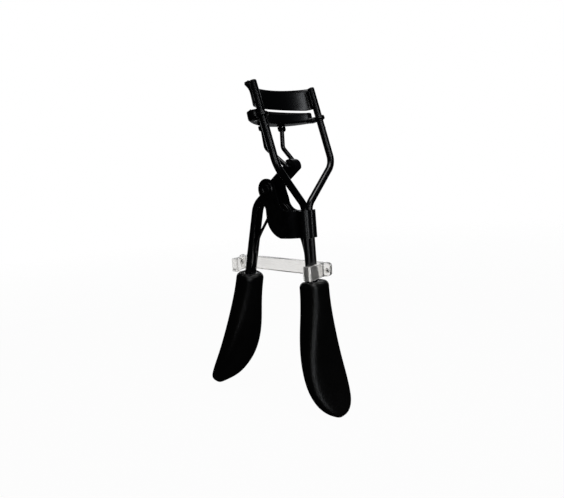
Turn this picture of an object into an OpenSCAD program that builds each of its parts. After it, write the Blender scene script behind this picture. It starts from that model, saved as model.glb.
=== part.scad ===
// Eyelash curler: wire frame with a curved jaw plate, a sliding lower jaw with a
// lash pad, a linked squeeze handle, two grips and a plastic clip on the necks.
// Axes: X across the jaws, +Y from the fixed handle to the squeeze handle, +Z up.

/* [Wires] */
// Distance between the two frame wires at the jaws, centre to centre
wire_span = 27; // [24:0.5:30]
// Diameter of the frame and handle wires
wire_d = 2.2; // [1.8:0.1:2.2]
// Centre distance of wires that run side by side
pair_pitch = 2.24; // [2.24:0.02:2.3]
// Inside radius of the frame's kink
kink_r = 6; // [5:0.5:9]
// Lean of the upper frame towards the squeeze handle, in degrees
lean = 14.5; // [10:0.5:18]

/* [Jaws] */
// Radius of the jaw plate's curve in plan
jaw_r = 21; // [19:0.5:24]
// Thickness of the jaw plate
plate_t = 0.7; // [0.5:0.1:1]
// Height of the plate's lower corners above the guide rings
plate_lo = 3.6; // [3.4:0.1:4]
// Height of the plate's lower edge at its middle
plate_mid = 4.6; // [4.4:0.1:5]
// Upward tilt of the jaws towards their middle, in degrees
jaw_tilt = 4.5; // [0:0.5:6]
// Height of the plate's lip above the guide rings
plate_hi = 10.5; // [9:0.1:11]
// Height of the pad's top above the guide rings, at its middle
pad_top = 3.75; // [3.3:0.05:3.9]
// Radius of the arch that the plate's edge and the pad share
arch_r = 75; // [60:5:120]
// Radial width of the lower jaw's channel
channel_w = 4.3; // [3.8:0.1:4.4]
// Height of the guide rings
ring_h = 1.1; // [0.8:0.1:1.4]

/* [Linkage] */
// Distance from the handle pivot to the yoke's cross rod
lever_len = 10.7; // [10:0.1:11.5]
// Diameter of the yoke wire
yoke_d = 1.4; // [1.2:0.1:1.4]
// Thickness of the bracket's sheet
sheet_t = 0.55; // [0.5:0.05:0.6]
// Radius of the bracket's ears
ear_r = 3.3; // [2.8:0.1:3.4]

/* [Grips] */
// Length of the grips
grip_len = 42.6; // [38:0.2:46]
// Greatest width of each grip
grip_w = 17; // [14:0.5:18]
// Greatest thickness of each grip
grip_t = 7.2; // [6.6:0.1:7.6]
// Lean of the squeeze handle away from the fixed one, in degrees
spread = 15.3; // [14:0.1:17]

/* [Clip] */
// Height of the clip's bar
clip_h = 4.2; // [3.5:0.1:4.4]
// Thickness of the clip's bar
clip_t = 1.45; // [1.2:0.05:1.8]

/* [Hidden] */
$fn = 48;

wr = wire_d/2;
px = pair_pitch/2;
// origin of the mechanism inside the part's own frame
org = [0, -18.354, 63.34];
// ring centre between the frame wires
ring_c = [0, 2.65, 27.26];
ud = [0, sin(lean), cos(lean)];
vd = [0, cos(lean), -sin(lean)];
// handle pivot, lever direction and cross rod
piv = [0, 12.8, 6.5];
lev_a = 144.3;
ld = [0, cos(lev_a), sin(lev_a)];
hook = piv + lever_len*ld;
// squeeze handle neck at the grip's top, and its direction downwards
neck_m = [0, 25.4, -20.5];
md = [0, sin(spread), -cos(spread)];
neck_f = [0, -0.1, -22];
// yoke hinge in the lower jaw, in jaw coordinates (out, up)
lug_v = 8.4;
lug_u = -1;
lug_x = 4.5;
pin_r = 0.4;

function unit(v) = v/norm(v);
function smooth(t) = let(s = min(1, max(0, t))) s*s*(3-2*s);
function jaw(x, v, u) = ring_c + [x, 0, 0] + v*vd + u*ud;
// the same for a point of the tilted lower jaw
function low(x, v, u) = jaw(x, 2+(v-2)*cos(jaw_tilt)-(u-1)*sin(jaw_tilt), 1+(v-2)*sin(jaw_tilt)+(u-1)*cos(jaw_tilt));
// line crossing of the neck and the lever in the Y-Z plane
bend_p = neck_m + (((neck_m[1]-piv[1])*ld[2] - (neck_m[2]-piv[2])*ld[1])/(md[2]*ld[1] - md[1]*ld[2]))*md;

module bar(a, b, r) {
  d = b-a;
  translate(a) rotate([0, acos(d[2]/norm(d)), atan2(d[1], d[0])]) cylinder(r = r, h = norm(d));
}
// part of a ring that turns a wire from direction a to direction b at corner p;
// its ends are let into the straight lengths
module elbow(p, a, b, R, r) {
  phi = acos(a*b);
  c = p + unit(b-a)*R/cos(phi/2);
  ex = unit((p - a*R*tan(phi/2)) - c);
  ez = cross(ex, a);
  over = 0.1/R*180/PI;
  multmatrix([[ex[0], a[0], ez[0], c[0]], [ex[1], a[1], ez[1], c[1]], [ex[2], a[2], ez[2], c[2]], [0, 0, 0, 1]])
    rotate([0, 0, -over]) rotate_extrude(angle = phi+2*over) translate([R, 0]) circle(r*0.985);
}
module wire(p, R, r) {
  n = len(p);
  d = [for (i = [0:n-2]) unit(p[i+1]-p[i])];
  t = [for (i = [0:n-1]) (i == 0 || i == n-1) ? 0 : R[i]*tan(acos(d[i-1]*d[i])/2)];
  for (i = [0:n-2]) bar(p[i]+d[i]*t[i], p[i+1]-d[i]*t[i+1], r);
  for (i = [1:n-2]) elbow(p[i], d[i-1], d[i], R[i], r);
}
// places children drawn in jaw coordinates: x, out (y), up (z)
module in_jaw() translate(ring_c) rotate([-lean, 0, 0]) children();
// the same, tilted up towards the middle of the jaws about height h
module tilted(h) in_jaw() translate([0, 2, h]) rotate([jaw_tilt, 0, 0]) translate([0, -2, -h]) children();
module part() translate(org) children();
// side outline (Y, Z) pushed along X between x0 and x1
module side(x0, x1) translate([x0, 0, 0]) rotate([90, 0, 90]) linear_extrude(x1-x0) children();

// ---- frame -------------------------------------------------------------
frame_top = jaw(wire_span/2, 0, 9.65);
kink_p = [wire_span/2, ring_c[1]-14.85*ud[1], ring_c[2]-14.85*ud[2]];
module frame_wire(s) {
  p = [[s*frame_top[0], frame_top[1], frame_top[2]], [s*kink_p[0], kink_p[1], kink_p[2]],
       [s*px, -0.1, 0.9], [s*px, -0.1, -36]];
  wire(p, [0, kink_r, 4, 0], wr);
  // dressed end and the small stop crimp below the guide ring
  in_jaw() translate([s*wire_span/2, 0, 9.6]) cylinder(r1 = wr, r2 = wr-0.35, h = 0.35);
  intersection() {
    in_jaw() translate([s*wire_span/2, -0.16, -3.4]) sphere(1.16);
    in_jaw() translate([s*wire_span/2-2, -2, -3.9]) cube([4, 4, 1]);
  }
}
module frame_wire_near() { color([0.05, 0.05, 0.055]) part() frame_wire(-1); }
module frame_wire_far() { color([0.05, 0.05, 0.055]) part() frame_wire(1); }

cx = 13.1;
cv = 2.05;
jaw_a = asin(cx/jaw_r);
jaw_c = cv - jaw_r*cos(jaw_a);
module upper_jaw() {
  h = plate_hi-0.7-plate_lo;
  color([0.06, 0.06, 0.065]) part() difference() {
    union() {
      tilted(6.5) difference() {
        union() {
          translate([0, jaw_c, 0]) rotate([0, 0, 90-jaw_a]) rotate_extrude(angle = 2*jaw_a, $fn = 120)
            polygon([[jaw_r-plate_t/2, plate_lo], [jaw_r+plate_t/2, plate_lo],
              [jaw_r+plate_t/2, plate_hi-1.3], [jaw_r+plate_t/2+0.25, plate_hi-0.7], [jaw_r+plate_t/2+0.9, plate_hi-0.1],
              [jaw_r+plate_t/2+0.45, plate_hi+0.1], [jaw_r-plate_t/2+0.2, plate_hi-0.5], [jaw_r-plate_t/2, plate_hi-1.1]]);
          for (s = [-1, 1]) {
            // leg from the corner back to the wire
            translate([0, 0, plate_lo]) linear_extrude(h)
              polygon([[s*(cx+0.28), cv+0.24], [s*(cx-0.26), cv-0.22], [s*(wire_span/2-0.75), 0.75], [s*(wire_span/2+0.5), 0.6], [s*(wire_span/2+0.3), 1.3]]);
            translate([s*cx, cv, plate_lo]) cylinder(r = plate_t/2, h = h);
          }
        }
        // arched lower edge
        translate([0, 1, plate_mid-arch_r]) rotate([-90, 0, 0]) cylinder(r = arch_r, h = 12, $fn = 240);
      }
      for (s = [-1, 1]) in_jaw() translate([s*wire_span/2, 0, plate_lo+0.2]) intersection() {
        cylinder(r = wr+0.5, h = h-0.6);
        translate([-3, 0.15, 0]) cube([6, 3, 10]);
      }
    }
    for (s = [-1, 1]) in_jaw() translate([s*wire_span/2, 0, -1]) cylinder(r = wr+0.01, h = 14);
  }
}

// plan of the collar and the two cheeks
function cheek_x(y) = 1.68 + 1.2*smooth((y-1.9)/3.5);
module bracket_plan() {
  difference() {
    union() {
      for (s = [0, 1]) mirror([s, 0]) {
        translate([px, -0.1]) circle(wr+0.02+sheet_t+0.2);
        polygon(concat([[1.95, 1.15]], [for (y = [1.9:0.35:5.4]) [cheek_x(y), y]], [[2.88, 6.5], [2.88, 17]],
          [[2.88-sheet_t, 17], [2.88-sheet_t, 6.5]], [for (y = [5.4:-0.35:1.9]) [cheek_x(y)-sheet_t, y]], [[1.12, 1.1]]));
      }
    }
    for (s = [-1, 1]) translate([s*px, -0.1]) circle(wr+0.02);
    translate([-px, -0.5]) square([2*px, 0.8]);
  }
}
module cheek_side() {
  difference() {
    union() {
      translate([piv[1]+0.1, piv[2]]) circle(ear_r);
      intersection() {
        translate([6.6, -2]) circle(7.1);
        translate([-4, -8.85]) square([20, 6.86]);
      }
      polygon([[-4, -8.85], [6.6, -8.85], [6.6, -2], [13.7, -2], [13.75, 0.4], [15.9, 5.1], [12.8, 6.5], [9.9, 7.6],
        [9.1, 4.6], [8.62, 3.2], [4.9, 3.2], [4.9, -0.5], [-4, -0.5]]);
    }
    translate([4.9, 3.2]) circle(3.75);
    translate([-5, -0.5]) square([9.9, 5]);
  }
}
module pivot_bracket() {
  color([0.06, 0.06, 0.065]) part() difference() {
    intersection() {
      translate([0, 0, -10]) linear_extrude(22) bracket_plan();
      side(-4, 4) cheek_side();
    }
    translate([-5, piv[1], piv[2]]) rotate([0, 90, 0]) cylinder(r = 0.86, h = 10);
  }
}
module pivot_rivet() {
  color([0.1, 0.1, 0.1]) part() translate(piv) for (s = [0, 1]) mirror([s, 0, 0])
    rotate([0, 90, 0]) rotate_extrude()
      polygon([[0, 0], [0.84, 0], [0.84, 3.25], [1.55, 3.25], [1.6, 3.4], [1.5, 3.7], [1.25, 3.8], [0.95, 3.68], [0.75, 3.5], [0.5, 3.52], [0.25, 3.62], [0, 3.65]]);
}
module washer(s) translate(piv) mirror([s, 0, 0]) translate([2.9, 0, 0]) rotate([0, 90, 0])
  rotate_extrude() polygon([[0.86, 0], [2.45, 0], [2.5, 0.12], [2.3, 0.3], [0.86, 0.34]]);
module rivet_washer_near() { color([0.08, 0.08, 0.08]) part() washer(1); }
module rivet_washer_far() { color([0.08, 0.08, 0.08]) part() washer(0); }

// ---- grips and ferrules: drawn hanging down from z = 0, curving to +y ----
function g_w(s) = s < 31 ? 8.5 + (grip_w-8.5)*smooth((s-2)/29) : grip_w*sqrt(max(0, 1-pow((s-31)/(grip_len-31), 2)));
function g_t(s) = (5.4 + (grip_t-5.4)*(1-smooth((s-14)/22)))*(s > grip_len-5 ? sqrt(max(0, 1-pow((s-grip_len+5)/5, 2))) : 1);
function g_c(s, c) = s < 12 ? 0 : c*pow((s-12)/26, 2.6);
// stations, closer at the ends
g_s = concat([0, 0.2, 0.8, 1.8], [for (i = [3:2.5:33]) i], [for (i = [35:1.25:41.25]) i*grip_len/42.5], [41.9*grip_len/42.5, 42.3*grip_len/42.5]);
// amount taken off the outline at the rounded shoulder
function g_in(s) = s >= 1.8 ? 0 : 1-sqrt(1-pow(1-s/1.8, 2));
function g_ring(s, dy, k, c) = let(w = max(0.5, g_w(s)/2-1.3*g_in(s)), t = max(0.35, g_t(s)/2-1.6*g_in(s)), e = 0.55)
  [for (i = [0:27]) let(a = 360*i/28, ca = cos(a), sa = sin(a))
    [w*sign(ca)*pow(abs(ca), e), g_c(s, c) + dy + t*sign(sa)*pow(abs(sa), e), -s*k]];
module grip_body(dy, k, c) {
  n = 28;
  m = len(g_s);
  pts = [for (s = g_s) each g_ring(s, dy, k, c)];
  faces = concat([[for (i = [0:n-1]) i]],
    [for (j = [0:m-2]) for (i = [0:n-1]) [j*n+(i+1)%n, j*n+i, (j+1)*n+i, (j+1)*n+(i+1)%n]],
    [[for (i = [n-1:-1:0]) (m-1)*n+i]]);
  polyhedron(pts, faces, convexity = 4);
}
module oval(h, grow) {
  translate([0, 0, -h]) linear_extrude(h) {
    for (s = [-1, 1]) translate([s*px, 0]) circle(wr+grow);
    translate([-px, -wr-grow]) square([2*px, 2*(wr+grow)]);
  }
}
module grip(dy, k, c) difference() {
  grip_body(dy, k, c);
  translate([0, 0, 1]) oval(16.2, 0.45);
}
module ferrule() difference() {
  translate([0, 0, -0.3]) oval(14.8, 0.43);
  translate([0, 0, 1]) oval(18, 0.03);
}
module at_fixed() translate(neck_f) rotate([0, 0, 180]) children();
module at_moving() translate(neck_m) rotate([spread, 0, 0]) children();
module fixed_ferrule() { color([0.6, 0.6, 0.6]) part() at_fixed() ferrule(); }
module moving_ferrule() { color([0.6, 0.6, 0.6]) part() at_moving() ferrule(); }
module fixed_grip() { color([0.08, 0.08, 0.08]) part() at_fixed() grip(0.65, 0.975, 4.5); }
module moving_grip() { color([0.08, 0.08, 0.08]) part() at_moving() grip(0, 1.05, 5.1); }

// ---- clip ------------------------------------------------------------------
clip_x = 2.45;
module hook(x, up) {
  translate([-x, 0, -clip_h/2-0.2]) cube([x+0.1+clip_x, 1.3, clip_h+up]);
  translate([-x, 0, -clip_h/2-0.2]) cube([1.15, 2.95, clip_h+up]);
}
module neck_clip() {
  color([0.85, 0.88, 0.9, 0.5]) part() translate([0, 0, -19.0]) rotate([2.6, 0, 0]) difference() {
    union() {
      translate([clip_x, 0, 0.35]) rotate([90, 0, 90]) linear_extrude(clip_t) hull() for (y = [-4, 31.8], z = [-1, 1])
        translate([y, z*(clip_h/2-1.1)]) circle(1.1);
      translate([0, -3.1, 0]) hook(4.4, 0.2);
      translate([0, 30.4, 0]) mirror([0, 1, 0]) hook(3.6, 0.2);
    }
    for (y = [-4.1, 31.9]) translate([clip_x-1, y, 0]) rotate([0, 90, 0]) cylinder(r = 0.55, h = clip_t+2);
  }
}

// ---- leaf spring --------------------------------------------------------------
sp_w = 1.4;
sp_t = 0.4;
// centre line: up the fixed neck, over a hump inside the bracket, down to the squeeze neck
sp_path = [[1.35, -16.2], [1.7, -12.8], [2.5, -9.4], [3.8, -5.9], [5.3, -2.7], [6.4, -0.7], [7.2, 0.5], [8.2, 1.5],
  [9.3, 1.95], [10.5, 1.85], [11.8, 1.2], [13.6, -0.35], [15.6, -2.7], [17.5, -5.1], [19.3, -7.4], [20.6, -9.4], [21.45, -11.4], [22.1, -13.8]];
function nrm(i) = let(a = sp_path[max(0, i-1)], b = sp_path[min(len(sp_path)-1, i+1)], d = (b-a)/norm(b-a)) [-d[1], d[0]];
module leaf_spring() {
  color([0.12, 0.12, 0.12]) part() side(-sp_w/2, sp_w/2)
    polygon(concat([for (i = [0:len(sp_path)-1]) sp_path[i]+nrm(i)*sp_t/2],
      [for (i = [len(sp_path)-1:-1:0]) sp_path[i]-nrm(i)*sp_t/2]));
}

// ---- lower jaw ------------------------------------------------------------------
band_r = jaw_r + 0.85;
band_a = 33;
floor_u = -0.15;
module band(half, z0, z1, a) {
  translate([0, jaw_c, z0]) {
    rotate([0, 0, 90-a]) rotate_extrude(angle = 2*a, $fn = 120) translate([band_r-half, 0]) square([2*half, z1-z0]);
    for (s = [-1, 1]) rotate([0, 0, s*a]) translate([0, band_r, 0]) cylinder(r = half, h = z1-z0);
  }
}
ex = band_r*sin(band_a);
ev = jaw_c + band_r*cos(band_a);
module lower_jaw() {
  color([0.06, 0.06, 0.065]) part() difference() {
    union() {
      tilted(1) band(channel_w/2, floor_u, 2.6, band_a);
      for (s = [-1, 1]) in_jaw() {
        translate([s*wire_span/2, 0, -ring_h/2]) cylinder(r = wr+0.62, h = ring_h);
        translate([0, 0, -ring_h/2-0.2]) linear_extrude(ring_h+0.2)
          polygon([[s*(wire_span/2+0.9), 1.3], [s*(ex+1.5), ev+1], [s*(ex-1.4), ev+0.6], [s*(ex-1.6), ev-0.9], [s*(wire_span/2-1.3), -0.8]]);
      }
    }
    tilted(1) band(channel_w/2-0.45, floor_u+0.5, 4, band_a);
    for (s = [-1, 1]) in_jaw() translate([s*wire_span/2, 0, -3]) cylinder(r = wr+0.08, h = 6);
  }
}
module lash_pad() {
  color([0.03, 0.03, 0.03]) part() tilted(1) intersection() {
    union() {
      band(channel_w/2-0.5, floor_u+0.55, 2.85, band_a);
      band(channel_w/2-0.75, 2.3, pad_top+0.5, band_a);
    }
    translate([0, 0, pad_top-arch_r]) rotate([-90, 0, 0]) cylinder(r = arch_r, h = 14, $fn = 240);
  }
}
module lug(s) tilted(1) difference() {
  union() for (x = [lug_x-1, lug_x+0.72]) {
    translate([s > 0 ? x : -x-0.28, lug_v-0.8, lug_u]) cube([0.28, 1.6, floor_u-0.02-lug_u]);
    translate([s > 0 ? x : -x-0.28, lug_v, lug_u]) rotate([0, 90, 0]) cylinder(r = 0.8, h = 0.28);
  }
  translate([s*lug_x-3, lug_v, lug_u]) rotate([0, 90, 0]) cylinder(r = pin_r+0.01, h = 6);
}
module yoke_lug_near() { color([0.06, 0.06, 0.065]) part() lug(-1); }
module yoke_lug_far() { color([0.06, 0.06, 0.065]) part() lug(1); }
module lug_pins() {
  color([0.1, 0.1, 0.1]) part() tilted(1) for (s = [-1, 1]) translate([s*lug_x-1.05, lug_v, lug_u])
    rotate([0, 90, 0]) cylinder(r = pin_r, h = 2.1);
}

// ---- drive yoke --------------------------------------------------------------------
yr = yoke_d/2;
yoke_b = jaw(3.95, 9.7, -6.1);
module drive_yoke() {
  top = low(lug_x, lug_v, lug_u);
  h = [2.5, hook[1], hook[2]];
  color([0.05, 0.05, 0.055]) part() difference() {
    union() {
      wire([top, yoke_b, h, [-h[0], h[1], h[2]], [-yoke_b[0], yoke_b[1], yoke_b[2]], [-top[0], top[1], top[2]]],
        [0, 2, 1.0, 1.0, 2, 0], yr);
      for (s = [-1, 1]) translate([s*top[0]-0.65, top[1], top[2]]) rotate([0, 90, 0]) cylinder(r = 0.74, h = 1.3);
    }
    for (s = [-1, 1]) translate([s*top[0]-2, top[1], top[2]]) rotate([0, 90, 0]) cylinder(r = pin_r+0.05, h = 4);
  }
}

// ---- squeeze handle ------------------------------------------------------------------
module handle_wire(s) {
  q = bend_p;
  e = piv - 3.3*ld;
  f = neck_m + 14*md;
  wire([[s*px, e[1], e[2]], [s*px, q[1], q[2]], [s*px, f[1], f[2]]], [0, 6.5, 0], wr);
}
module handle_wire_near() { color([0.05, 0.05, 0.055]) part() handle_wire(-1); }
module handle_wire_far() { color([0.05, 0.05, 0.055]) part() handle_wire(1); }
module lever_side() {
  circle(1.95);
  translate([-3.28, -1.25]) square([5, 2.5]);
  translate([0, -1.75]) square([lever_len-0.2, 3.55]);
  intersection() {
    translate([lever_len-0.1, 0]) circle(2.3);
    translate([lever_len-3, -1.75]) square([6, 3.55]);
  }
  intersection() {
    translate([lever_len-0.1, 0]) circle(2.3);
    translate([lever_len-0.1, -3]) square([6, 4.8]);
  }
}
module squeeze_lever() {
  color([0.06, 0.06, 0.065]) part() translate(piv) rotate([lev_a, 0, 0]) rotate([90, 0, 90]) difference() {
    union() {
      translate([0, 0, -1.5]) linear_extrude(3.0) lever_side();
      translate([0, 0, -2.2]) linear_extrude(4.4) { circle(1.95); translate([-3.28, -1.25]) square([3.3, 2.5]); }
    }
    translate([0, 0, -4]) cylinder(r = 0.9, h = 8);
    translate([lever_len, 0, -4]) cylinder(r = yr+0.2, h = 8);
  }
}

frame_wire_near();
frame_wire_far();
upper_jaw();
pivot_bracket();
pivot_rivet();
rivet_washer_near();
rivet_washer_far();
fixed_ferrule();
fixed_grip();
neck_clip();
leaf_spring();
lower_jaw();
lash_pad();
yoke_lug_near();
yoke_lug_far();
lug_pins();
drive_yoke();
handle_wire_near();
handle_wire_far();
squeeze_lever();
moving_ferrule();
moving_grip();
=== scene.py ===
import bpy, bmesh, math
from mathutils import Matrix, Vector


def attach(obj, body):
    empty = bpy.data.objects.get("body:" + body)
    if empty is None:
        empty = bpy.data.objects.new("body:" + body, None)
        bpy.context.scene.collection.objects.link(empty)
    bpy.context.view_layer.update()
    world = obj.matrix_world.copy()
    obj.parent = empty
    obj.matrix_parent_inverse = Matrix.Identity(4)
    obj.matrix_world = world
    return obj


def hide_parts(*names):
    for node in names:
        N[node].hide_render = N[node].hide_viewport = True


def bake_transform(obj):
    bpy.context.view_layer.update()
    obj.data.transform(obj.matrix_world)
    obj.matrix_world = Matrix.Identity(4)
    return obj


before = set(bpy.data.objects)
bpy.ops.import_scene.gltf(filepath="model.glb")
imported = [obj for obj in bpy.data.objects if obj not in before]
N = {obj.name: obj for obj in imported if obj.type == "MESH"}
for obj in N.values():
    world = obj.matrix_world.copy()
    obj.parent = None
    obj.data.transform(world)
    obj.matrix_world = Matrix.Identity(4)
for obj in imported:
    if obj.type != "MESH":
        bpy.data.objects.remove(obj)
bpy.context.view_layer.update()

MM = 0.001
ORG = Vector((0.0, -18.354, 63.34))


def P(x, y, z):
    """A point of the mechanism frame (mm) in the row frame (m)."""
    return (Vector((x, y, z)) + ORG) * MM


# ------------------------------------------------------------------ materials
def new_mat(name):
    m = bpy.data.materials.new(name)
    m.use_nodes = True
    nt = m.node_tree
    nt.nodes.clear()
    out = nt.nodes.new("ShaderNodeOutputMaterial")
    b = nt.nodes.new("ShaderNodeBsdfPrincipled")
    nt.links.new(b.outputs[0], out.inputs[0])
    co = nt.nodes.new("ShaderNodeTexCoord")
    return m, nt, b, co.outputs["Object"]


def noise(nt, co, scale, detail=3.0, rough=0.5):
    n = nt.nodes.new("ShaderNodeTexNoise")
    n.inputs["Scale"].default_value = scale
    n.inputs["Detail"].default_value = detail
    n.inputs["Roughness"].default_value = rough
    nt.links.new(co, n.inputs["Vector"])
    return n.outputs["Fac"]


def mapr(nt, val, a, b, c, d):
    m = nt.nodes.new("ShaderNodeMapRange")
    m.inputs[1].default_value = a
    m.inputs[2].default_value = b
    m.inputs[3].default_value = c
    m.inputs[4].default_value = d
    nt.links.new(val, m.inputs[0])
    return m.outputs[0]


def math2(nt, op, a, b):
    m = nt.nodes.new("ShaderNodeMath")
    m.operation = op
    for i, v in enumerate((a, b)):
        if isinstance(v, (int, float)):
            m.inputs[i].default_value = v
        else:
            nt.links.new(v, m.inputs[i])
    return m.outputs[0]


def mixc(nt, fac, a, b):
    m = nt.nodes.new("ShaderNodeMix")
    m.data_type = "RGBA"
    nt.links.new(fac, m.inputs["Factor"])
    for sock, c in (("A", a), ("B", b)):
        s = [i for i in m.inputs if i.name == sock and i.type == "RGBA"][0]
        if isinstance(c, tuple):
            s.default_value = (*c, 1)
        else:
            nt.links.new(c, s)
    return [o for o in m.outputs if o.type == "RGBA"][0]


def bump(nt, height, strength, dist, normal=None):
    b = nt.nodes.new("ShaderNodeBump")
    b.inputs["Strength"].default_value = strength
    b.inputs["Distance"].default_value = dist
    nt.links.new(height, b.inputs["Height"])
    if normal is not None:
        nt.links.new(normal, b.inputs["Normal"])
    return b.outputs[0]


def edge_mask(nt, lo=0.56, hi=0.66):
    g = nt.nodes.new("ShaderNodeNewGeometry")
    return mapr(nt, g.outputs["Pointiness"], lo, hi, 0.0, 1.0)


def lacquer(name, rough=0.3, base=(0.0012, 0.00125, 0.0017), orange=0.05, wear=0.5):
    """Black lacquer on metal: slight orange peel, faint cloudiness, rubbed edges."""
    m, nt, b, co = new_mat(name)
    broad = noise(nt, co, 90, 3, 0.5)
    fine = noise(nt, co, 420, 2, 0.45)
    b.inputs["IOR"].default_value = 1.5
    b.inputs["Specular IOR Level"].default_value = 0.5
    e = math2(nt, "MULTIPLY", edge_mask(nt), mapr(nt, noise(nt, co, 500, 3), 0.4, 0.7, 0.0, wear))
    col = mixc(nt, mapr(nt, broad, 0.35, 0.65, 0.0, 1.0), base, tuple(c * 1.5 for c in base))
    col = mixc(nt, e, col, (0.012, 0.012, 0.013))
    nt.links.new(col, b.inputs["Base Color"])
    r = math2(nt, "ADD", mapr(nt, broad, 0.3, 0.7, rough - 0.02, rough + 0.025), mapr(nt, fine, 0.35, 0.7, -0.01, 0.012))
    nt.links.new(r, b.inputs["Roughness"])
    nt.links.new(bump(nt, fine, orange, 0.00008), b.inputs["Normal"])
    return m


def grained(name):
    """Satin black moulded grip with a fine leather-like grain."""
    m, nt, b, co = new_mat(name)
    v = nt.nodes.new("ShaderNodeTexVoronoi")
    v.feature = "F1"
    v.inputs["Scale"].default_value = 3000
    warp = nt.nodes.new("ShaderNodeVectorMath")
    warp.operation = "ADD"
    n3 = nt.nodes.new("ShaderNodeTexNoise")
    n3.inputs["Scale"].default_value = 1500
    nt.links.new(co, n3.inputs["Vector"])
    sc = nt.nodes.new("ShaderNodeVectorMath")
    sc.operation = "SCALE"
    sc.inputs["Scale"].default_value = 0.00035
    nt.links.new(n3.outputs["Color"], sc.inputs[0])
    nt.links.new(co, warp.inputs[0])
    nt.links.new(sc.outputs[0], warp.inputs[1])
    nt.links.new(warp.outputs[0], v.inputs["Vector"])
    cell = v.outputs["Distance"]
    broad = noise(nt, co, 120, 4, 0.55)
    mid = noise(nt, co, 1700, 3, 0.6)
    b.inputs["Specular IOR Level"].default_value = 0.5
    base = mixc(nt, mapr(nt, broad, 0.35, 0.65, 0.0, 1.0), (0.0012, 0.00115, 0.0012), (0.0019, 0.0018, 0.0018))
    base = mixc(nt, mapr(nt, cell, 0.0, 0.55, 0.5, 0.0), base, (0.0035, 0.0035, 0.0037))
    base = mixc(nt, math2(nt, "MULTIPLY", edge_mask(nt, 0.56, 0.68), 0.3), base, (0.012, 0.012, 0.013))
    nt.links.new(base, b.inputs["Base Color"])
    r = math2(nt, "ADD", mapr(nt, broad, 0.3, 0.7, 0.31, 0.37), mapr(nt, mid, 0.3, 0.7, -0.04, 0.05))
    nt.links.new(r, b.inputs["Roughness"])
    h = math2(nt, "ADD", mapr(nt, cell, 0.0, 0.6, 1.0, 0.0), math2(nt, "MULTIPLY", mid, 0.6))
    nt.links.new(bump(nt, h, 0.7, 0.00007), b.inputs["Normal"])
    return m


def rubber(name):
    m, nt, b, co = new_mat(name)
    f = noise(nt, co, 3500, 3, 0.6)
    broad = noise(nt, co, 300, 3)
    nt.links.new(mixc(nt, broad, (0.0018, 0.0018, 0.002), (0.003, 0.003, 0.0034)), b.inputs["Base Color"])
    nt.links.new(mapr(nt, f, 0.3, 0.7, 0.48, 0.6), b.inputs["Roughness"])
    nt.links.new(bump(nt, f, 0.25, 0.00004), b.inputs["Normal"])
    b.inputs["Specular IOR Level"].default_value = 0.4
    return m


def clear(name):
    """Clear colourless moulded plastic with faint flow lines."""
    m, nt, b, co = new_mat(name)
    b.inputs["Transmission Weight"].default_value = 0.93
    b.inputs["IOR"].default_value = 1.49
    flow = noise(nt, co, 260, 3, 0.5)
    fine = noise(nt, co, 1800, 3, 0.6)
    nt.links.new(mixc(nt, flow, (0.83, 0.82, 0.80), (0.90, 0.89, 0.875)), b.inputs["Base Color"])
    nt.links.new(mapr(nt, fine, 0.3, 0.7, 0.04, 0.1), b.inputs["Roughness"])
    nt.links.new(bump(nt, math2(nt, "ADD", flow, math2(nt, "MULTIPLY", fine, 0.2)), 0.12, 0.0002), b.inputs["Normal"])
    return m


def steel(name):
    m, nt, b, co = new_mat(name)
    s = nt.nodes.new("ShaderNodeMapping")
    s.inputs["Scale"].default_value = (1, 1, 30)
    nt.links.new(co, s.inputs["Vector"])
    f = noise(nt, s.outputs[0], 300, 4, 0.6)
    b.inputs["Metallic"].default_value = 1.0
    nt.links.new(mixc(nt, f, (0.42, 0.42, 0.43), (0.6, 0.6, 0.61)), b.inputs["Base Color"])
    nt.links.new(mapr(nt, f, 0.3, 0.7, 0.28, 0.42), b.inputs["Roughness"])
    nt.links.new(bump(nt, f, 0.15, 0.00005), b.inputs["Normal"])
    return m


M_WIRE = lacquer("lacquer_wire", 0.22, orange=0.01, wear=0.15)
M_SHEET = lacquer("lacquer_sheet", 0.27, orange=0.04)
M_RIVET = lacquer("lacquer_rivet", 0.34, (0.002, 0.002, 0.0024), 0.02)
M_SPRING = lacquer("spring_black", 0.24, (0.003, 0.003, 0.0034), 0.03)
M_GRIP = grained("grip_grain")
M_PAD = rubber("pad_rubber")
M_CLEAR = clear("clip_clear")
M_STEEL = steel("ferrule_steel")


# ------------------------------------------------------------------ mesh help
def piece(name, verts, faces, mat, body, replaces=(), smooth=True, subsurf=0):
    me = bpy.data.meshes.new(name)
    me.from_pydata([tuple(v) for v in verts], [], faces)
    me.validate()
    bm = bmesh.new()
    bm.from_mesh(me)
    bmesh.ops.remove_doubles(bm, verts=bm.verts, dist=1e-8)
    bmesh.ops.recalc_face_normals(bm, faces=bm.faces)
    bm.to_mesh(me)
    bm.free()
    ob = bpy.data.objects.new(name, me)
    bpy.context.scene.collection.objects.link(ob)
    me.materials.append(mat)
    if smooth:
        for p in me.polygons:
            p.use_smooth = True
    if subsurf:
        s = ob.modifiers.new("sub", "SUBSURF")
        s.levels = s.render_levels = subsurf
    if body:
        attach(ob, body)
    if replaces:
        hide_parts(*replaces)
    return ob


def loft(rings, cap0=True, cap1=True, closed_ring=True, closed_path=False):
    """Faces of a skin over rings of equal length."""
    n = len(rings[0])
    verts = [p for r in rings for p in r]
    faces = []
    m = len(rings)
    for j in range(m if closed_path else m - 1):
        j2 = (j + 1) % m
        for k in range(n if closed_ring else n - 1):
            k2 = (k + 1) % n
            faces.append((j * n + k, j * n + k2, j2 * n + k2, j2 * n + k))
    if cap0:
        faces.append(tuple(range(n - 1, -1, -1)))
    if cap1:
        faces.append(tuple((m - 1) * n + k for k in range(n)))
    return verts, faces


def smooth01(t):
    s = min(1.0, max(0.0, t))
    return s * s * (3 - 2 * s)


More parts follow.
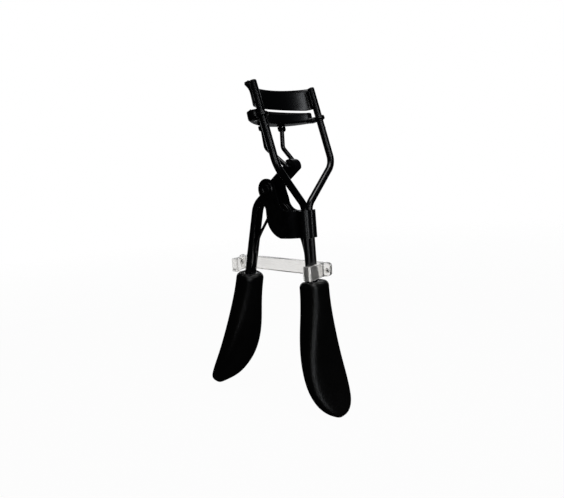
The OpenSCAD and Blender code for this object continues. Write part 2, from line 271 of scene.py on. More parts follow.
def spow(c, e):
    return math.copysign(abs(c) ** e, c)


# ------------------------------------------------------------------ grips
GL, GW, GT = 42.6, 17.0, 7.2


def g_w(s):
    if s < 31:
        return 8.5 + (GW - 8.5) * smooth01((s - 2) / 29)
    return GW * math.sqrt(max(0.0, 1 - ((s - 31) / (GL - 31)) ** 2))


def g_t(s):
    t = 5.4 + (GT - 5.4) * (1 - smooth01((s - 14) / 22))
    if s > GL - 5:
        t *= math.sqrt(max(0.0, 1 - ((s - GL + 5) / 5) ** 2))
    return t


def g_c(s, c):
    return 0.0 if s < 12 else c * ((s - 12) / 26) ** 2.6


def build_grip(name, body, place, dy, kz, bow, node):
    n = 72
    e = 0.55
    rings = []

    def ring(w, t, c, z):
        return [place(w * spow(math.cos(2 * math.pi * k / n), e), c + dy + t * spow(math.sin(2 * math.pi * k / n), e), z) for k in range(n)]

    # the mouth round the two wires, the sunk top face, the rolled shoulder, then the body
    for (w, t, z) in ((2.45, 1.35, -3.0), (2.45, 1.35, -0.75), (2.5, 1.4, -0.52), (2.62, 1.5, -0.42)):
        rings.append(ring(w, t, -dy, z))
    for f, z in ((0.55, -0.36), (0.8, -0.2), (0.9, -0.08)):
        w = (g_w(0) / 2 - 1.3)
        t = (g_t(0) / 2 - 1.6)
        rings.append(ring(2.62 + (w - 2.62) * f * 1.05, 1.5 + (t - 1.5) * f * 1.05, -dy * (1 - f), z))
    for a in range(0, 91, 10):
        q = 1.0 - math.sin(math.radians(a))
        s = 1.8 * (1.0 - math.cos(math.radians(a)))
        rings.append(ring(g_w(s) / 2 - 1.3 * q, g_t(s) / 2 - 1.6 * q, g_c(s, bow), -s * kz - 0.02))
    st = [1.8 + 0.85 * i for i in range(1, 38)]
    st += [33.8 + 0.5 * i for i in range(0, 15)]
    end = [s for s in st if s < GL - 1.6]
    for u in (0.2, 0.36, 0.52, 0.66, 0.78, 0.88, 0.95, 0.985):
        end.append(GL - 1.6 + 1.6 * u)
    for s in end:
        rings.append(ring(max(0.2, g_w(s) / 2), max(0.08, g_t(s) / 2), g_c(s, bow), -s * kz))
    v, f = loft(rings, cap0=False, cap1=False)
    # close the tip and the bottom of the mouth
    base = len(v)
    tip = place(0, g_c(GL, bow) + dy, -(GL - 0.005) * kz)
    v.append(tip)
    last = (len(rings) - 1) * n
    for k in range(n):
        f.append((last + k, last + (k + 1) % n, base))
    v.append(place(0, 0, -3.0))
    for k in range(n):
        f.append(((k + 1) % n, k, base + 1))
    return piece(name, v, f, M_GRIP, body, (node,))


def place_fixed(x, y, z):
    return P(-x, -0.1 - y, -22 + z)


SPR = math.radians(15.3)


def place_moving(x, y, z):
    return P(x, 25.4 + y * math.cos(SPR) - z * math.sin(SPR), -20.5 + y * math.sin(SPR) + z * math.cos(SPR))


build_grip("grip_fixed_skin", "frame", place_fixed, 0.65, 0.975, 4.5, "fixed_grip")
build_grip("grip_moving_skin", "handle", place_moving, 0.0, 1.05, 5.1, "moving_grip")

# ------------------------------------------------------------------ jaws
LEAN = math.radians(14.5)
RC = Vector((0, 2.65, 27.26))
UD = Vector((0, math.sin(LEAN), math.cos(LEAN)))
VD = Vector((0, math.cos(LEAN), -math.sin(LEAN)))
TILT = math.radians(4.5)


def jaw(x, v, u):
    p = RC + Vector((x, 0, 0)) + v * VD + u * UD
    return P(*p)


def tilted(x, v, u, h):
    return jaw(x, 2 + (v - 2) * math.cos(TILT) - (u - h) * math.sin(TILT), h + (v - 2) * math.sin(TILT) + (u - h) * math.cos(TILT))


JR, PT, CX, CV = 21.0, 0.7, 13.1, 2.05
PLO, PMID, PHI, ARCH = 3.6, 4.6, 10.5, 75.0
JA = math.asin(CX / JR)
JC = CV - JR * math.cos(JA)


def build_plate():
    # plan path: wire side, leg, corner, arc, corner, leg
    pts = []
    corner = Vector((CX, CV))
    foot = Vector((13.72, 0.95))
    arc = []
    m = 72
    for i in range(m + 1):
        a = -JA + 0.055 + (2 * JA - 0.11) * i / m
        arc.append(Vector((JR * math.sin(a), JC + JR * math.cos(a))))
    # rounded corner between the arc and the leg
    def corner_pts(s):
        a0 = arc[-1] if s > 0 else arc[0]
        a0 = Vector((abs(a0.x), a0.y))
        a1 = corner + (foot - corner).normalized() * 0.35
        out = []
        for i in range(1, 8):
            t = i / 8
            q = (1 - t) ** 2 * a0 + 2 * t * (1 - t) * corner + t * t * a1
            out.append(Vector((s * q.x, q.y)))
        return out, Vector((s * a1.x, a1.y))
    right, r1 = corner_pts(1)
    left, l1 = corner_pts(-1)
    footR, footL = foot, Vector((-foot.x, foot.y))
    pts = [footL, footL.lerp(l1, 0.5), l1] + left[::-1] + arc + right + [r1, r1.lerp(footR, 0.5), footR]
    rings = []
    for i, p in enumerate(pts):
        a, b = pts[max(0, i - 1)], pts[min(len(pts) - 1, i + 1)]
        d = (b - a).normalized()
        nrm = Vector((-d.y, d.x))  # outwards, away from the eye
        lo = max(PLO, PMID - p.x * p.x / (2 * ARCH)) if abs(p.x) < 12.3 else PLO
        edge = 1.0
        if i < 10 or i > len(pts) - 11:
            k = min(i, len(pts) - 1 - i)
            edge = 0.35 + 0.65 * smooth01(k / 7)
        lip = 0.15 + 0.85 * edge
        hi = PHI - (1 - edge) * 0.3 + 0.38 * max(0.0, 1 - (p.x / 12.8) ** 2)
        t = PT / 2
        prof = []
        # lower edge, rounded
        for j in range(7):
            q = math.pi + math.pi * j / 6
            prof.append((t * 0.98 * math.cos(q), lo + 0.28 + 0.28 * math.sin(q)))
        # outer face up, then the rolled lip
        prof += [(t, lo + 1.2), (t, (lo + hi) / 2), (t, hi - 2.0), (t + 0.03 * lip, hi - 1.3), (t + 0.16 * lip, hi - 0.85), (t + 0.42 * lip, hi - 0.5), (t + 0.75 * lip, hi - 0.28)]
        prof += [(t + 0.93 * lip, hi - 0.18), (t + 1.0 * lip, hi - 0.02), (t + 0.9 * lip, hi + 0.1)]
        prof += [(t + 0.55 * lip - 0.1, hi + 0.1), (-t + 0.3 + 0.25 * lip, hi - 0.08), (-t + 0.12, hi - 0.35), (-t + 0.03, hi - 0.75), (-t, hi - 1.3), (-t, hi - 2.2), (-t, (lo + hi) / 2), (-t, lo + 1.2)]
        rings.append([tilted(p.x + nrm.x * q, p.y + nrm.y * q, u, 6.5) for q, u in prof])
    v, f = loft(rings, cap0=True, cap1=True)
    ob = piece("jaw_plate", v, f, M_SHEET, "frame", ("upper_jaw",))
    # saddles that seat the plate's legs on the wires
    for s, nm in ((-1, "near"), (1, "far")):
        rings = []
        wr = 1.12
        # height, outer radius, extra radius and height of the flared corner, height of the bore side
        for u, ro, fr, fu, ui in ((PLO + 0.1, 1.5, 0, 0, 0), (PLO + 0.17, 1.58, 0, 0, 0), (PLO + 0.4, 1.62, 0, 0, 0), (6.5, 1.62, 0, 0, 0), (PHI - 3.6, 1.62, 0, 0, 0), (PHI - 3.0, 1.62, 0.06, 0, 0), (PHI - 2.5, 1.62, 0.2, 0.1, 0), (PHI - 2.1, 1.62, 0.42, 0.25, 0), (PHI - 1.8, 1.62, 0.68, 0.38, 0), (PHI - 1.6, 1.61, 0.86, 0.48, 0.1), (PHI - 1.5, 1.56, 0.86, 0.56, 0.3), (PHI - 1.46, 1.46, 0.7, 0.7, 0.75)):
            ring = []
            for i in range(33):
                a = math.radians(-2 + 184 * i / 32)
                b_ = math.degrees(a) if s < 0 else 180 - math.degrees(a)
                wn = smooth01((b_ - 50) / 45) * (1 - smooth01((b_ - 138) / 40))
                r = ro + fr * wn
                ring.append(jaw(s * 13.5 + r * math.cos(a), r * math.sin(a), u + fu * wn))
            for i in range(32, -1, -1):
                a = math.radians(-2 + 184 * i / 32)
                b_ = math.degrees(a) if s < 0 else 180 - math.degrees(a)
                wn = smooth01((b_ - 50) / 45) * (1 - smooth01((b_ - 138) / 40))
                ring.append(jaw(s * 13.5 + wr * math.cos(a), wr * math.sin(a), u + ui * (0.3 + 0.7 * wn) + fu * wn * 0.4))
            rings.append(ring)
        v, f = loft(rings)
        o = piece("jaw_saddle_" + nm, v, f, M_SHEET, "frame", ("upper_jaw",))
    return ob


build_plate()

BR, BA = JR + 0.85, math.radians(33)
CWID = 4.3


def stadium(half, npts=64, ncap=14):
    """Loop round the jaw's curved centre line at distance half, starting at the middle of the -X end."""
    loop = []
    half = max(half, 0.004)

    def cap(s, rev):
        c = Vector((s * BR * math.sin(BA), JC + BR * math.cos(BA)))
        base = math.atan2(math.cos(BA), s * math.sin(BA))  # outward radial direction
        out = []
        for i in range(ncap + 1):
            t = i / ncap
            if s < 0:
                a = base + math.pi * t  # from outer side round to inner side
            else:
                a = base - math.pi * t
            out.append(c + half * Vector((math.cos(a), math.sin(a))))
        return out
    left = cap(-1, False)      # outer -> inner
    right = cap(1, False)
    outer = []
    inner = []
    for i in range(1, npts):
        a = -BA + 2 * BA * i / npts
        outer.append(Vector(((BR + half) * math.sin(a), JC + (BR + half) * math.cos(a))))
        inner.append(Vector(((BR - half) * math.sin(a), JC + (BR - half) * math.cos(a))))
    h = ncap // 2
    # start at the left end's middle, go up to the outer side
    loop = left[h::-1] + outer + right + inner[::-1] + left[:h:-1]
    return loop


def shell(stations, h=1.0):
    rings = []
    for half, u in stations:
        rings.append([tilted(p.x, p.y, u(p) if callable(u) else u, h) for p in stadium(half)])
    n = len(rings[0])
    v = [p for r in rings for p in r]
    f = []
    for j in range(len(rings) - 1):
        for k in range(n):
            f.append((j * n + k, j * n + (k + 1) % n, (j + 1) * n + (k + 1) % n, (j + 1) * n + k))
    # close the collapsed first and last loops by pairing points across the centre line
    for j in (0, len(rings) - 1):
        for k in range(0, n // 2):
            a, b = j * n + k, j * n + (k + 1)
            c, d = j * n + (n - k - 1) % n, j * n + (n - k) % n
            q = (a, b, c, d) if k else (a, b, c)
            if len(set(q)) >= 3:
                f.append(q if j else q[::-1])
    return v, f


H2 = CWID / 2
FL = -0.15
st = [(0.004, FL), (H2 - 1.25, FL)]
for i in range(0, 7):
    a = math.radians(90 * i / 6)
    st.append((H2 - 0.75 + 0.75 * math.sin(a), FL + 0.75 - 0.75 * math.cos(a)))
st += [(H2, 1.6), (H2, 2.4), (H2 - 0.04, 2.51), (H2 - 0.13, 2.58), (H2 - 0.24, 2.6), (H2 - 0.35, 2.57), (H2 - 0.43, 2.49), (H2 - 0.45, 2.38), (H2 - 0.45, 0.6), (H2 - 0.53, 0.43), (H2 - 0.7, 0.35), (0.004, 0.35)]
v, f = shell(st)
piece("jaw_channel", v, f, M_SHEET, "lower_jaw", ("lower_jaw",))


def arch(top):
    def height(p):
        out = math.hypot(p.x, p.y - JC)
        return top - p.x * p.x / (2 * ARCH) + 0.5 * smooth01((out - 22.0) / 0.7) * smooth01((abs(p.x) - 10.6) / 1.5)
    return height


PTOP = 3.75
st = [(0.004, 0.41), (H2 - 0.52, 0.41), (H2 - 0.51, 1.2), (H2 - 0.51, 2.15)]
st += [(H2 - 0.56, lambda x: min(2.75, arch(PTOP)(x) - 0.5)), (H2 - 0.78, lambda x: min(2.9, arch(PTOP)(x) - 0.42))]
for i in range(1, 7):
    a = math.radians(90 * i / 6)
    st.append((H2 - 0.8 - 0.5 + 0.5 * math.cos(a), (lambda s_: (lambda x: arch(PTOP)(x) - 0.4 + 0.4 * s_))(math.sin(a))))
st += [(0.45, arch(PTOP)), (0.004, arch(PTOP))]
v, f = shell(st)
piece("lash_pad_rubber", v, f, M_PAD, "lower_jaw", ("lash_pad",))


def build_ring(s, nm):
    """Guide ring round the wire, and the arm that carries it from the channel's end."""
    bore, out, hh = 1.19, 1.74, 0.55
    n = 48
    prof = []
    for (r, u) in ((bore, -hh + 0.12), (bore + 0.1, -hh), (out - 0.22, -hh), (out - 0.06, -hh + 0.07), (out, -hh + 0.24), (out, hh - 0.24), (out - 0.06, hh - 0.07), (out - 0.22, hh), (bore + 0.1, hh), (bore, hh - 0.12)):
        prof.append((r, u))
    rings = []
    for i in range(n):
        a = 2 * math.pi * i / n
        rings.append([jaw(s * (13.5 + r * math.cos(a)), r * math.sin(a), u) for r, u in prof])
    v, f = loft(rings, cap0=False, cap1=False, closed_path=True)
    piece("guide_ring_" + nm, v, f, M_SHEET, "lower_jaw", ("lower_jaw",))
    # arm: a rounded slab lofted from the channel's end to the ring
    ex, ev = BR * math.sin(BA), JC + BR * math.cos(BA)
    A = [Vector((14.72, 1.05)), Vector((14.1, 2.2)), Vector((13.6, 3.4)), Vector((13.0, 4.6))]
    B = [Vector((12.62, -0.75)), Vector((11.5, 0.6)), Vector((10.7, 1.9)), Vector((10.2, 2.9))]
    # arm outline is kept clear of the bore
    path = []
    for i in range(9):
        t = i / 8
        a0 = (1 - t) ** 3 * A[0] + 3 * t * (1 - t) ** 2 * A[1] + 3 * t * t * (1 - t) * A[2] + t ** 3 * A[3]
        b0 = (1 - t) ** 3 * B[0] + 3 * t * (1 - t) ** 2 * B[1] + 3 * t * t * (1 - t) * B[2] + t ** 3 * B[3]
        path.append((a0, b0))
    rings = []
    for i, (a0, b0) in enumerate(path):
        t = i / 8
        hi = 0.5 + 0.5 * smooth01(t)
        lo = -0.55 - 0.13 * smooth01(t * 2) + 0.48 * smooth01((t - 0.4) / 0.6)
        ring = []
        for (q, u) in ((0.0, 0.5), (0.02, 0.75), (0.06, 0.93), (0.14, 1.0), (0.3, 1.0), (0.5, 1.0), (0.7, 1.0), (0.86, 1.0), (0.94, 0.93), (0.98, 0.75), (1.0, 0.5), (0.98, 0.25), (0.94, 0.07), (0.86, 0.0), (0.5, 0.0), (0.14, 0.0), (0.06, 0.07), (0.02, 0.25)):
            p = a0.lerp(b0, q)
            c = Vector((13.5, 0.0))
            d = p - c
            if d.length < 1.45:
                p = c + d.normalized() * 1.45
            ring.append(jaw(s * p.x, p.y, lo + (hi - lo) * u))
        rings.append(ring)
    v, f = loft(rings)
    piece("guide_arm_" + nm, v, f, M_SHEET, "lower_jaw", ("lower_jaw",))


build_ring(-1, "near")
build_ring(1, "far")

# ------------------------------------------------------------------ clip
CT = math.radians(2.6)


def place_clip(x, y, z):
    return P(x, y * math.cos(CT) - z * math.sin(CT), -19 + y * math.sin(CT) + z * math.cos(CT))


def build_clip():
    bm = bmesh.new()
    out = [(3.9, -5.1), (3.9, 32.9), (2.45, 32.9), (2.45, 30.4), (-3.6, 30.4), (-3.6, 27.45), (-2.45, 27.45), (-2.45, 29.1), (2.45, 29.1),
           (2.45, -1.8), (-3.25, -1.8), (-3.25, -0.15), (-4.4, -0.15), (-4.4, -3.1), (2.45, -3.1), (2.45, -5.1)]
    # heights of the outline's corners; the hooks hang a little lower than the bar
    top = [2.4, 2.4, 2.4, 2.3, 2.1, 2.1, 2.1, 2.1, 2.3, 2.3, 2.1, 2.1, 2.1, 2.1, 2.3, 2.4]
    low_ = [-1.75, -1.75, -1.75, -1.95, -2.3, -2.3, -2.3, -2.3, -1.95, -1.95, -2.3, -2.3, -2.3, -2.3, -1.95, -1.75]
    lo = [bm.verts.new((x, y, t)) for (x, y), t in zip(out, low_)]
    hi = [bm.verts.new((x, y, t)) for (x, y), t in zip(out, top)]
    bm.faces.new(lo[::-1])
    bm.faces.new(hi)
    n = len(out)
    for i in range(n):
        bm.faces.new((lo[i], lo[(i + 1) % n], hi[(i + 1) % n], hi[i]))
    bmesh.ops.recalc_face_normals(bm, faces=bm.faces)
    bm.verts.ensure_lookup_table()

    # rounded corners at the bar's two ends, then a moulded edge all round
    def upright_end(e):
        a, b = e.verts
        return abs(abs(a.co.x - b.co.x) - 1.45) < 1e-5 and min(abs(a.co.y + 5.1), abs(a.co.y - 32.9)) < 1e-5 and abs(a.co.z - b.co.z) < 1e-5
    ends = [e for e in bm.edges if upright_end(e)]
    bmesh.ops.bevel(bm, geom=ends, offset=1.1, segments=6, profile=0.5, affect="EDGES", clamp_overlap=True)
    sharp = [e for e in bm.edges if len(e.link_faces) == 2 and e.calc_face_angle(0.0) > 0.7]
    bmesh.ops.bevel(bm, geom=sharp, offset=0.24, segments=4, profile=0.5, affect="EDGES", clamp_overlap=True)
    bmesh.ops.triangulate(bm, faces=[f for f in bm.faces if len(f.verts) > 4])
    for v in bm.verts:
        v.co = place_clip(*v.co)
    me = bpy.data.meshes.new("neck_clip_clear")
    bm.to_mesh(me)
    bm.free()
    ob = bpy.data.objects.new("neck_clip_clear", me)
    bpy.context.scene.collection.objects.link(ob)
    me.materials.append(M_CLEAR)
    for p in me.polygons:
        p.use_smooth = True
    me.set_sharp_from_angle(angle=math.radians(40))
    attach(ob, "frame")
    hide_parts("neck_clip")
    # raised ejector marks at the bar's ends
    for y, nm in ((-4.1, "a"), (31.9, "b")):
        prof = ((0.30, 0.0), (0.5, 0.03), (0.56, 0.09), (0.62, 0.12), (0.7, 0.1), (0.76, 0.03), (0.78, -0.03))
        n = 32
        rings = []
        for r, z in prof:
            rings.append([place_clip(2.45 - z, y + r * math.cos(2 * math.pi * k / n), r * math.sin(2 * math.pi * k / n)) for k in range(n)])
        v, f = loft(rings, cap0=True, cap1=True)
        piece("clip_mark_" + nm, v, f, M_CLEAR, "frame", ("neck_clip",))


build_clip()

# ------------------------------------------------------------------ leaf spring
SP = [(1.35, -16.2), (1.7, -12.8), (2.5, -9.4), (3.8, -5.9), (5.3, -2.7), (6.4, -0.7), (7.2, 0.5), (8.2, 1.5), (9.3, 1.95), (10.5, 1.85), (11.8, 1.2),
      (13.6, -0.35), (15.6, -2.7), (17.5, -5.1), (19.3, -7.4), (20.6, -9.4), (21.45, -11.4), (22.1, -13.8)]


def catmull(pts, k):
    out = []
    for i in range(len(pts) - 1):
        p0 = Vector(pts[max(0, i - 1)])
        p1 = Vector(pts[i])
        p2 = Vector(pts[i + 1])
        p3 = Vector(pts[min(len(pts) - 1, i + 2)])
        for j in range(k):
            t = j / k
            out.append(0.5 * ((2 * p1) + (p2 - p0) * t + (2 * p0 - 5 * p1 + 4 * p2 - p3) * t * t + (3 * p1 - p0 - 3 * p2 + p3) * t ** 3))
    out.append(Vector(pts[-1]))
    return out


def build_spring():
    c = catmull(SP, 6)
    rings = []
    for i, p in enumerate(c):
        a, b = c[max(0, i - 1)], c[min(len(c) - 1, i + 1)]
        d = (b - a).normalized()
        nrm = Vector((-d.y, d.x))
        ring = []
        w, t = 0.68, 0.19
        if i in (0, len(c) - 1):
            w, t = 0.6, 0.13
        for (x, q) in ((-w, 0), (-w + 0.05, -t * 0.7), (-w + 0.16, -t), (0, -t), (w - 0.16, -t), (w - 0.05, -t * 0.7), (w, 0), (w - 0.05, t * 0.7), (w - 0.16, t), (0, t), (-w + 0.16, t), (-w + 0.05, t * 0.7)):
            ring.append(P(x, p.x + nrm.x * q, p.y + nrm.y * q))
        rings.append(ring)
    v, f = loft(rings)
    ob = piece("leaf_spring_strip", v, f, M_SPRING, None)
    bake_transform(ob)
    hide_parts("leaf_spring")


build_spring()

# ------------------------------------------------------------------ wires
def wire_path(pts, radii, steps=14):
    """Points along straight lengths joined by arcs."""
    pts = [Vector(p) for p in pts]
    out = [pts[0]]
    for i in range(1, len(pts) - 1):
        a = (pts[i] - pts[i - 1]).normalized()
        b = (pts[i + 1] - pts[i]).normalized()
        phi = a.angle(b)
        t = radii[i] * math.tan(phi / 2)
        c = pts[i] + (b - a).normalized() * radii[i] / math.cos(phi / 2)
        ex = (pts[i] - a * t - c).normalized()
        ey = a
        for j in range(steps + 1):
            g = phi * j / steps
            out.append(c + radii[i] * (ex * math.cos(g) + ey * math.sin(g)))
    out.append(pts[-1])
    return out


def subdivide(path, step):
    out = [path[0]]
    for a, b in zip(path, path[1:]):
        k = max(1, int((b - a).length / step))
        for j in range(1, k + 1):
            out.append(a.lerp(b, j / k))
    return out


def tube(name, path, r, mat, body, node, round0=0.0, round1=0.0, n=36):
    path = subdivide(path, 1.2)
    rings = []
    m = len(path)
    ref = Vector((1, 0, 0))
    frames = []
    for i in range(m):
        d = (path[min(m - 1, i + 1)] - path[max(0, i - 1)]).normalized()
        ref = ref - d * ref.dot(d)
        if ref.length < 0.2:
            ref = Vector((0, 1, 0)) - d * d.y
        ref.normalize()
        frames.append((d, ref.copy(), d.cross(ref)))

    def ring(c, e1, e2, rr):
        return [P(*(c + rr * (e1 * math.cos(2 * math.pi * k / n) + e2 * math.sin(2 * math.pi * k / n)))) for k in range(n)]
    if round0:
        d, e1, e2 = frames[0]
        for q in (0, 25, 50, 70):
            rings.append(ring(path[0] + d * round0 * (1 - math.cos(math.radians(q))) * 1.0, e1, e2, r - round0 + round0 * math.sin(math.radians(q + 8 * (q > 0)))))
        path = [path[0] + d * round0] + list(path[1:])
    for i in range(m):
        d, e1, e2 = frames[i]
        if i == m - 1 and round1:
            for q in (0, 30, 60, 80):
                w = math.radians(q)
                rings.append(ring(path[i] - d * round1 * (1 - math.sin(w)), e1, e2, r - round1 + round1 * math.cos(w)))
        else:
            rings.append(ring(path[i], e1, e2, r))
    v, f = loft(rings)
    ob = piece(name, v, f, mat, body, (node,))
    ob.data.set_sharp_from_angle(angle=math.radians(50))
    return ob


def jm(x, v_, u):
    return RC + Vector((x, 0, 0)) + v_ * VD + u * UD


PXX = 1.12
PIV = Vector((0, 12.8, 6.5))
LA = math.radians(144.3)
LD = Vector((0, math.cos(LA), math.sin(LA)))
MD = Vector((0, math.sin(SPR), -math.cos(SPR)))
NM = Vector((0, 25.4, -20.5))
for sgn, nm in ((-1, "near"), (1, "far")):
    kp = RC - 14.85 * UD
    tp = jm(sgn * 13.5, 0, 9.95)
    path = wire_path([tp, (sgn * 13.5, kp.y, kp.z), (sgn * PXX, -0.1, 0.9), (sgn * PXX, -0.1, -36)], [0, 6.0, 4, 0])
    tube("frame_wire_%s_rod" % nm, path, 1.1, M_WIRE, "frame", "frame_wire_" + nm, round0=0.35)
    # small swaged stop below the guide ring
    rings = []
    for j in range(1, 12):
        b_ = math.pi * j / 12
        rings.append([jaw(sgn * 13.5 + 0.52 * math.sin(b_) * math.cos(2 * math.pi * k / 24), -0.74 + 0.58 * math.sin(b_) * math.sin(2 * math.pi * k / 24), -3.4 + 0.5 * math.cos(b_)) for k in range(24)])
    v, f = loft(rings)
    piece("frame_stop_" + nm, v, f, M_WIRE, "frame", ("frame_wire_" + nm,))
    # handle wires
    den = MD.z * LD.y - MD.y * LD.z
    q = NM + (((NM.y - PIV.y) * LD.z - (NM.z - PIV.z) * LD.y) / den) * MD
    e = PIV - 3.3 * LD
    g = NM + 14 * MD
    path = wire_path([(sgn * PXX, e.y, e.z), (sgn * PXX, q.y, q.z), (sgn * PXX, g.y, g.z)], [0, 6.5, 0], 24)
    tube("handle_wire_%s_rod" % nm, path, 1.1, M_WIRE, "handle", "handle_wire_" + nm)

# drive yoke: one bent rod, with an eye at each end
LV, LU, LX = 8.4, -1.0, 4.5


def lowm(x, v_, u):
    return jm(x, 2 + (v_ - 2) * math.cos(TILT) - (u - 1) * math.sin(TILT), 1 + (v_ - 2) * math.sin(TILT) + (u - 1) * math.cos(TILT))


HK = PIV + 10.7 * LD
top = lowm(LX, LV, LU)
yb = jm(3.95, 9.7, -6.1)
first = top + (yb - top).normalized() * 0.56
mir = lambda p: Vector((-p.x, p.y, p.z))
path = wire_path([first, yb, (2.5, HK.y, HK.z), (-2.5, HK.y, HK.z), mir(yb), mir(first)], [0, 2, 1.0, 1.0, 2, 0], 12)
tube("yoke_rod", path, 0.7, M_WIRE, "yoke", "drive_yoke")
for sgn, nm in ((-1, "near"), (1, "far")):
    prof = []
    for (x, r) in ((-0.65, 0.47), (-0.65, 0.66), (-0.61, 0.71), (-0.54, 0.74), (0.54, 0.74), (0.61, 0.71), (0.65, 0.66), (0.65, 0.47)):
        prof.append((x, r))
    rings = [[P(sgn * LX + x, top.y + r * math.cos(2 * math.pi * k / 36), top.z + r * math.sin(2 * math.pi * k / 36)) for x, r in prof] for k in range(36)]
    v, f = loft(rings, cap0=False, cap1=False, closed_path=True)
    piece("yoke_eye_" + nm, v, f, M_WIRE, "yoke", ("drive_yoke",))

# ------------------------------------------------------------------ CAD nodes that stay
mats = {
    "frame_wire_near": M_WIRE, "frame_wire_far": M_WIRE, "pivot_bracket": M_SHEET, "pivot_rivet": M_RIVET,
    "rivet_washer_near": M_SHEET, "rivet_washer_far": M_SHEET, "fixed_ferrule": M_STEEL, "moving_ferrule": M_STEEL,
    "yoke_lug_near": M_SHEET, "yoke_lug_far": M_SHEET, "lug_pins": M_RIVET, "drive_yoke": M_WIRE,
    "handle_wire_near": M_WIRE, "handle_wire_far": M_WIRE, "squeeze_lever": M_SHEET,
    "upper_jaw": M_SHEET, "lower_jaw": M_SHEET, "lash_pad": M_PAD, "neck_clip": M_CLEAR, "leaf_spring": M_SPRING,
    "fixed_grip": M_GRIP, "moving_grip": M_GRIP,
}
for name, m in mats.items():
    o = N[name]
    o.data.materials.clear()
    o.data.materials.append(m)


def bevel_mod(node, width, seg=2, angle=35):
    b = N[node].modifiers.new("edges", "BEVEL")
    b.width = width * MM
    b.segments = seg
    b.limit_method = "ANGLE"
    b.angle_limit = math.radians(angle)
    b.harden_normals = False
    b.use_clamp_overlap = True


bevel_mod("pivot_bracket", 0.14, 3)
bevel_mod("squeeze_lever", 0.18, 3)

# ------------------------------------------------------------------ stage
sc = bpy.context.scene
A = math.radians(49.66)
AWAY = Vector((math.sin(A), math.cos(A), 0))
RIGHT = Vector((math.cos(A), -math.sin(A), 0))
UP = Vector((0, 0, 1))
C0 = Vector((0, 0, 0.052))

# floor: a large disc that fades into the backdrop
n = 96
v = [(0, 0, 0)]
f = []
radii = (0.05, 0.12, 0.25, 0.5, 0.9, 1.5, 2.4)
for r in radii:
    v += [(r * math.cos(2 * math.pi * k / n), r * math.sin(2 * math.pi * k / n), 0) for k in range(n)]
for k in range(n):
    f.append((0, 1 + k, 1 + (k + 1) % n))
for j in range(len(radii) - 1):
    for k in range(n):
        a = 1 + j * n + k
        b = 1 + j * n + (k + 1) % n
        f.append((a, a + n, b + n, b))
me = bpy.data.meshes.new("floor")
me.from_pydata(v, [], f)
floor = bpy.data.objects.new("floor", me)
sc.collection.objects.link(floor)
floor.location = (0, 0, -0.0001)
fm = bpy.data.materials.new("floor_white")
fm.use_nodes = True
nt = fm.node_tree
nt.nodes.clear()
out = nt.nodes.new("ShaderNodeOutputMaterial")
dif = nt.nodes.new("ShaderNodeBsdfDiffuse")
em = nt.nodes.new("ShaderNodeEmission")
em.inputs["Color"].default_value = (1, 1, 1, 1)
em.inputs["Strength"].default_value = 0.9
tr = nt.nodes.new("ShaderNodeBsdfTransparent")
co = nt.nodes.new("ShaderNodeTexCoord")
gr = nt.nodes.new("ShaderNodeVectorMath")
gr.operation = "LENGTH"
nt.links.new(co.outputs["Object"], gr.inputs[0])
nz = noise(nt, co.outputs["Object"], 40, 3)
nt.links.new(mixc(nt, nz, (0.018, 0.018, 0.018), (0.022, 0.022, 0.022)), dif.inputs["Color"])
lp = nt.nodes.new("ShaderNodeLightPath")
cam_or_tr = math2(nt, "MAXIMUM", lp.outputs["Is Camera Ray"], lp.outputs["Is Transmission Ray"])
near = math2(nt, "MULTIPLY", lp.outputs["Is Glossy Ray"], mapr(nt, gr.outputs["Value"], 0.05, 0.12, 0.004, 0.0))
nt.links.new(math2(nt, "MAXIMUM", math2(nt, "MULTIPLY", cam_or_tr, 0.97), near), em.inputs["Strength"])
add = nt.nodes.new("ShaderNodeAddShader")
nt.links.new(dif.outputs[0], add.inputs[0])
nt.links.new(em.outputs[0], add.inputs[1])
mx = nt.nodes.new("ShaderNodeMixShader")
nt.links.new(mapr(nt, gr.outputs["Value"], 0.18, 0.6, 0.0, 1.0), mx.inputs[0])
nt.links.new(add.outputs[0], mx.inputs[1])
nt.links.new(tr.outputs[0], mx.inputs[2])
nt.links.new(mx.outputs[0], out.inputs[0])
me.materials.append(fm)

w = bpy.data.worlds.new("studio")
sc.world = w
w.use_nodes = True
nt = w.node_tree
nt.nodes.clear()
out = nt.nodes.new("ShaderNodeOutputWorld")
bg_cam = nt.nodes.new("ShaderNodeBackground")
bg_cam.inputs["Color"].default_value = (1, 1, 1, 1)
bg_cam.inputs["Strength"].default_value = 1.0
bg_env = nt.nodes.new("ShaderNodeBackground")
bg_env.inputs["Color"].default_value = (0.95, 0.97, 1.0, 1)
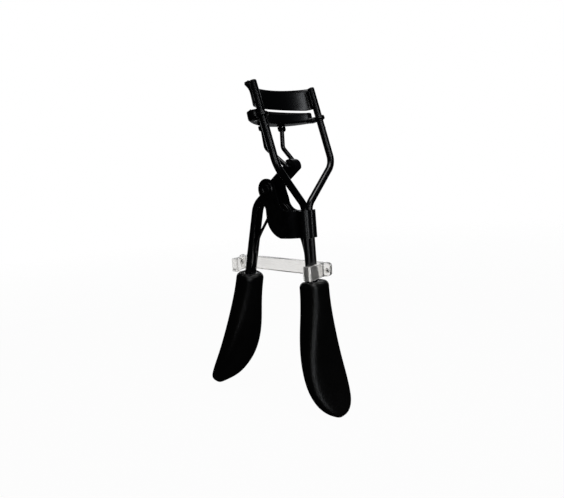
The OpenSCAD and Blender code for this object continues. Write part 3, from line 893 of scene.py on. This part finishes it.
# the pale backdrop behind the object is what its edges mirror; the rest of the room is dark
wc = nt.nodes.new("ShaderNodeTexCoord")
dt = nt.nodes.new("ShaderNodeVectorMath")
dt.operation = "DOT_PRODUCT"
dt.inputs[1].default_value = AWAY
nt.links.new(wc.outputs["Generated"], dt.inputs[0])
nt.links.new(mapr(nt, dt.outputs["Value"], 0.72, 0.98, 0.004, 0.8), bg_env.inputs["Strength"])
lp = nt.nodes.new("ShaderNodeLightPath")
mx = nt.nodes.new("ShaderNodeMixShader")
nt.links.new(math2(nt, "MAXIMUM", lp.outputs["Is Camera Ray"], lp.outputs["Is Transmission Ray"]), mx.inputs[0])
nt.links.new(bg_env.outputs[0], mx.inputs[1])
nt.links.new(bg_cam.outputs[0], mx.inputs[2])
nt.links.new(mx.outputs[0], out.inputs[0])


def area(name, loc, target, sx, sy, power, color=(1, 1, 1)):
    l = bpy.data.lights.new(name, "AREA")
    l.shape = "RECTANGLE"
    l.size, l.size_y = sx, sy
    l.energy = power
    l.color = color
    o = bpy.data.objects.new(name, l)
    sc.collection.objects.link(o)
    o.location = loc
    d = (Vector(target) - Vector(loc)).normalized()
    o.rotation_euler = d.to_track_quat("-Z", "Y").to_euler()
    return o


def round_light(name, az, el, dist, sx, sy, radiance, color=(1, 1, 1)):
    """A soft box az degrees to the right of the camera and el degrees up, as seen from the object."""
    a, e = math.radians(az), math.radians(el)
    d = (-AWAY * math.cos(a) + RIGHT * math.sin(a)) * math.cos(e) + UP * math.sin(e)
    return area(name, C0 + d * dist, C0, sx, sy, radiance * math.pi * sx * sy, color)


round_light("key_front", 4, 8, 0.60, 0.055, 0.44, 5.0, (0.96, 0.98, 1.0))
round_light("key_right", 36, 10, 0.45, 0.06, 0.42, 5.5, (0.93, 0.96, 1.0))
round_light("top_soft", 8, 66, 0.5, 0.26, 0.16, 6.0)

# ------------------------------------------------------------------ camera
p_, r_ = math.radians(-7.14), math.radians(-4.67)
fwd = AWAY * math.cos(p_) + UP * math.sin(p_)
up2 = -AWAY * math.sin(p_) + UP * math.cos(p_)
right2 = RIGHT * math.cos(r_) + up2 * math.sin(r_)
up3 = -RIGHT * math.sin(r_) + up2 * math.cos(r_)
cd = bpy.data.cameras.new("camera")
cd.sensor_width = 36
cd.sensor_fit = "HORIZONTAL"
cd.lens = 36 * 531.146 / 564
cd.clip_start = 0.005
cd.clip_end = 20
cam = bpy.data.objects.new("camera", cd)
sc.collection.objects.link(cam)
loc = P(-126.537, -96.586, 8.306)
cam.matrix_world = Matrix(((right2.x, up3.x, -fwd.x, loc.x), (right2.y, up3.y, -fwd.y, loc.y), (right2.z, up3.z, -fwd.z, loc.z), (0, 0, 0, 1)))
sc.camera = cam
sc.view_settings.view_transform = "Standard"

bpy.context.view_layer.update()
